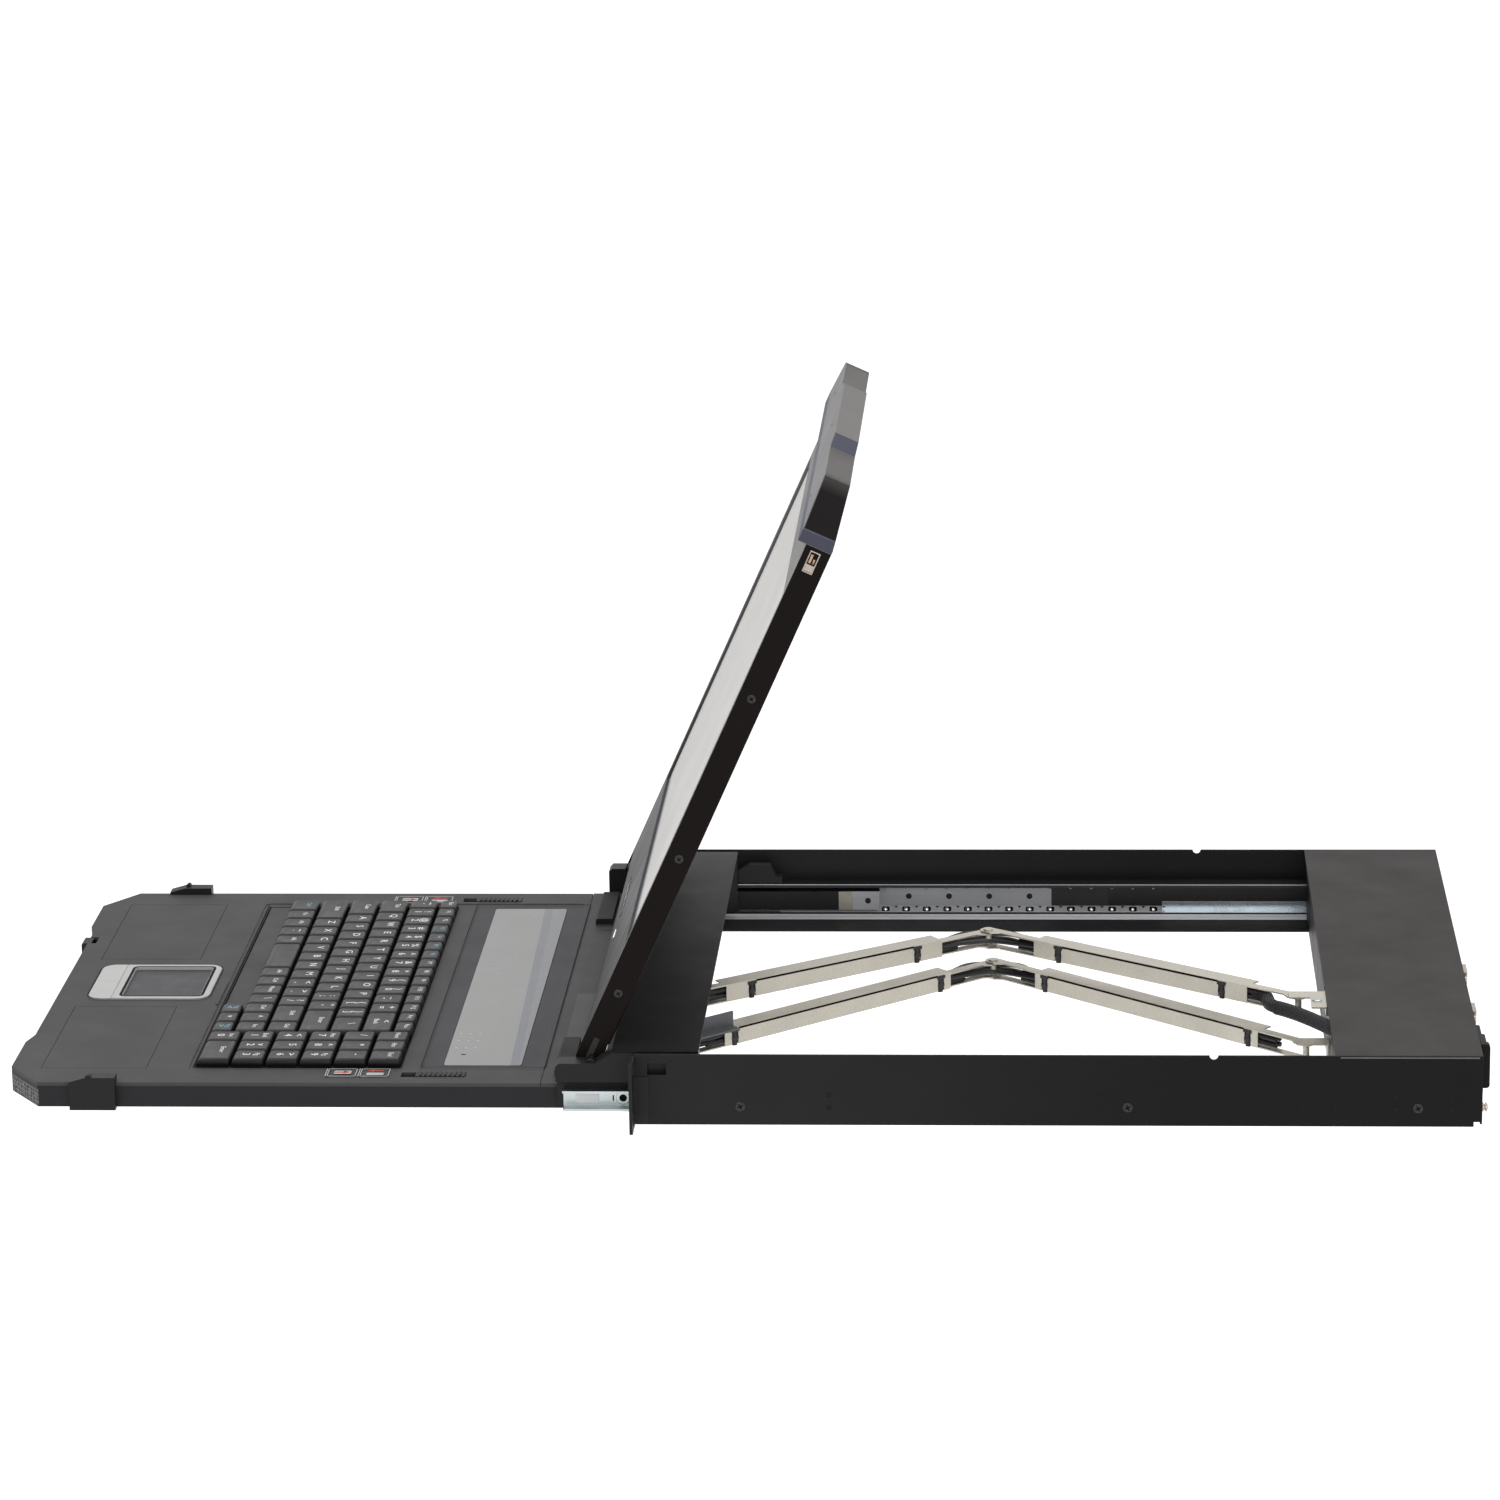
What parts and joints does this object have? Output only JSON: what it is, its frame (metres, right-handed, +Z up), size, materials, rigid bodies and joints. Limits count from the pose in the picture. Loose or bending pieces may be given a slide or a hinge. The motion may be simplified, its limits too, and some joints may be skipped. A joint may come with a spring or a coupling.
{
  "type": "rackmount console drawer",
  "caption": "Flat drawer for an equipment rack with a keyboard and touchpad tray on ball slides, a hinged flat screen lid and folding cable arms behind.",
  "frame": {"origin": "centre of the four slots in the rack ears, on the ears' rear face", "axes": "+Z up, +Y from the user into the rack, +X to the user's right"},
  "size_m": [0.4826, 0.896, 0.3919],
  "materials": {
    "chassis_paint": "satin black powder coat",
    "ear_paint": "satin black powder coat",
    "cover_paint": "satin charcoal paint",
    "tray_paint": "satin black paint",
    "lid_paint": "satin black paint",
    "deck_plastic": "fine satin grain, warm dark grey",
    "carriage_plastic": "fine satin grain, black",
    "bezel_plastic": "fine satin grain, blue grey",
    "key_plastic": "fine matt grain, dark grey",
    "panel_plastic": "glossy grey",
    "frame_plastic": "silver grey satin",
    "pad_plastic": "smooth dark grey",
    "button_plastic": "silver grey satin",
    "screen_glass": "pale warm grey, antiglare",
    "menu_plastic": "glossy black",
    "zinc": "bright zinc",
    "cage_steel": "grey zinc with bright balls",
    "outer_steel": "black coat on steel",
    "arm_steel": "nickel, satin",
    "screw_steel": "dark zinc",
    "pin_steel": "bright steel",
    "plate_steel": "zinc",
    "socket_plastic": "black",
    "socket_metal": "tin plate",
    "board": "green board",
    "supply_steel": "bare zinc",
    "lead_rubber": "black sheath"
  },
  "bodies": {
    "chassis": {"chassis_side_left": "chassis_paint", "chassis_side_right": "chassis_paint", "rack_ear_left": "ear_paint", "rack_ear_right": "ear_paint", "rear_case": "chassis_paint", "rear_cover": "cover_paint", "console_board": "board", "power_supply": "supply_steel", "power_inlet": "socket_plastic", "video_ports": "socket_metal", "chassis_screws": "screw_steel", "slide_outer_left": "outer_steel", "slide_outer_right": "outer_steel", "arm_rear_brackets": "arm_steel", "rear_leads": "lead_rubber"},
    "cages": {"ball_cages": "cage_steel"},
    "drawer": {"slide_inner_left": "zinc", "slide_inner_right": "zinc", "carriage_side_left": "carriage_plastic", "carriage_side_right": "carriage_plastic", "slide_catches": "carriage_plastic", "carriage_cover": "cover_paint", "tray_base": "tray_paint", "keyboard_deck": "deck_plastic", "hinge_deck": "deck_plastic", "hinge_pins": "pin_steel", "keyboard_plate": "plate_steel", "touchpad_frame": "frame_plastic", "touchpad": "pad_plastic", "control_panel": "panel_plastic", "side_catches": "carriage_plastic", "arm_front_brackets": "arm_steel"},
    "lid": {"lid_shell": "lid_paint", "lid_bezel": "bezel_plastic", "lcd_panel": "screen_glass", "usb_socket": "socket_metal", "lid_screws": "screw_steel", "lid_hinges": "pin_steel"},
    "menu_buttons": {"osd_buttons": "menu_plastic"},
    "pad_button_left": {"touchpad_button_left": "button_plastic"},
    "pad_button_right": {"touchpad_button_right": "button_plastic"},
    "latch_left": {"release_latch_left": "carriage_plastic"},
    "latch_right": {"release_latch_right": "carriage_plastic"},
    "front_hook": {"front_latch": "carriage_plastic"},
    "space_key": {"space_bar": "key_plastic"},
    "front_keys": {"keys_front_row": "key_plastic"},
    "lower_keys": {"keys_lower_row": "key_plastic"},
    "home_keys": {"keys_home_row": "key_plastic"},
    "upper_keys": {"keys_upper_row": "key_plastic"},
    "digit_keys": {"keys_digit_row": "key_plastic"},
    "function_keys": {"keys_function_row": "key_plastic"},
    "pad_keys": {"keys_number_pad": "key_plastic"},
    "upper_rear_arm": {"upper_arm_rear_link": "arm_steel", "upper_arm_rear_leads": "lead_rubber"},
    "upper_front_arm": {"upper_arm_front_link": "arm_steel", "upper_arm_front_leads": "lead_rubber"},
    "lower_rear_arm": {"lower_arm_rear_link": "arm_steel", "lower_arm_rear_leads": "lead_rubber"},
    "lower_front_arm": {"lower_arm_front_link": "arm_steel", "lower_arm_front_leads": "lead_rubber"}
  },
  "joints": [
    {"name": "drawer_slide", "type": "slide", "parent": "chassis", "child": "drawer", "axis": [0, 1, 0], "range_m": [0, 0.343]},
    {"name": "cage_slide", "type": "slide", "parent": "chassis", "child": "cages", "axis": [0, 1, 0], "range_m": [0, 0.1715]},
    {"name": "lid_hinge", "type": "hinge", "parent": "drawer", "child": "lid", "pos_m": [0, -0.027, 0.013], "axis": [1, 0, 0], "range_deg": [-4, 114.4]},
    {"name": "menu_press", "type": "slide", "parent": "lid", "child": "menu_buttons", "axis": [0, 0.9107, -0.4131], "range_m": [0, 0.0005], "stiffness_N_per_m": 2000, "springref_m": -0.0005},
    {"name": "pad_button_left_press", "type": "slide", "parent": "drawer", "child": "pad_button_left", "axis": [0, 0, -1], "range_m": [0, 0.0006], "stiffness_N_per_m": 2000, "springref_m": -0.0005},
    {"name": "pad_button_right_press", "type": "slide", "parent": "drawer", "child": "pad_button_right", "axis": [0, 0, -1], "range_m": [0, 0.0006], "stiffness_N_per_m": 2000, "springref_m": -0.0005},
    {"name": "latch_left_pull", "type": "slide", "parent": "drawer", "child": "latch_left", "axis": [0, -1, 0], "range_m": [0, 0.008], "stiffness_N_per_m": 300, "springref_m": -0.004},
    {"name": "latch_right_pull", "type": "slide", "parent": "drawer", "child": "latch_right", "axis": [0, -1, 0], "range_m": [0, 0.008], "stiffness_N_per_m": 300, "springref_m": -0.004},
    {"name": "front_hook_push", "type": "slide", "parent": "drawer", "child": "front_hook", "axis": [0, 1, 0], "range_m": [0, 0.003], "stiffness_N_per_m": 500, "springref_m": -0.002},
    {"name": "space_press", "type": "slide", "parent": "drawer", "child": "space_key", "axis": [0, 0, -1], "range_m": [0, 0.0025], "stiffness_N_per_m": 1500, "springref_m": -0.001},
    {"name": "front_row_press", "type": "slide", "parent": "drawer", "child": "front_keys", "axis": [0, 0, -1], "range_m": [0, 0.0025], "stiffness_N_per_m": 1500, "springref_m": -0.001},
    {"name": "lower_row_press", "type": "slide", "parent": "drawer", "child": "lower_keys", "axis": [0, 0, -1], "range_m": [0, 0.0025], "stiffness_N_per_m": 1500, "springref_m": -0.001},
    {"name": "home_row_press", "type": "slide", "parent": "drawer", "child": "home_keys", "axis": [0, 0, -1], "range_m": [0, 0.0025], "stiffness_N_per_m": 1500, "springref_m": -0.001},
    {"name": "upper_row_press", "type": "slide", "parent": "drawer", "child": "upper_keys", "axis": [0, 0, -1], "range_m": [0, 0.0025], "stiffness_N_per_m": 1500, "springref_m": -0.001},
    {"name": "digit_row_press", "type": "slide", "parent": "drawer", "child": "digit_keys", "axis": [0, 0, -1], "range_m": [0, 0.0025], "stiffness_N_per_m": 1500, "springref_m": -0.001},
    {"name": "function_row_press", "type": "slide", "parent": "drawer", "child": "function_keys", "axis": [0, 0, -1], "range_m": [0, 0.0025], "stiffness_N_per_m": 1500, "springref_m": -0.001},
    {"name": "number_pad_press", "type": "slide", "parent": "drawer", "child": "pad_keys", "axis": [0, 0, -1], "range_m": [0, 0.0025], "stiffness_N_per_m": 1500, "springref_m": -0.001},
    {"name": "upper_rear_pivot", "type": "hinge", "parent": "chassis", "child": "upper_rear_arm", "pos_m": [0.095, 0.4, 0.0085], "axis": [0, 0, 1], "range_deg": [-49.15, 0]},
    {"name": "upper_elbow", "type": "hinge", "parent": "upper_rear_arm", "child": "upper_front_arm", "pos_m": [-0.044, 0.208, 0.0085], "axis": [0, 0, 1], "range_deg": [0, 98.29]},
    {"name": "lower_rear_pivot", "type": "hinge", "parent": "chassis", "child": "lower_rear_arm", "pos_m": [0.12, 0.404, -0.0135], "axis": [0, 0, 1], "range_deg": [-44, 0]},
    {"name": "lower_elbow", "type": "hinge", "parent": "lower_rear_arm", "child": "lower_front_arm", "pos_m": [-0.049, 0.211, -0.0135], "axis": [0, 0, 1], "range_deg": [0, 87.99]}
  ],
  "couplings": [
    {"joint": "cage_slide", "follows": "drawer_slide", "ratio": 0.5},
    {"joint": "upper_rear_pivot", "follows": "drawer_slide", "rad_per_m": -2.5002},
    {"joint": "upper_elbow", "follows": "drawer_slide", "rad_per_m": 5.0005},
    {"joint": "lower_rear_pivot", "follows": "drawer_slide", "rad_per_m": -2.2382},
    {"joint": "lower_elbow", "follows": "drawer_slide", "rad_per_m": 4.4763}
  ]
}
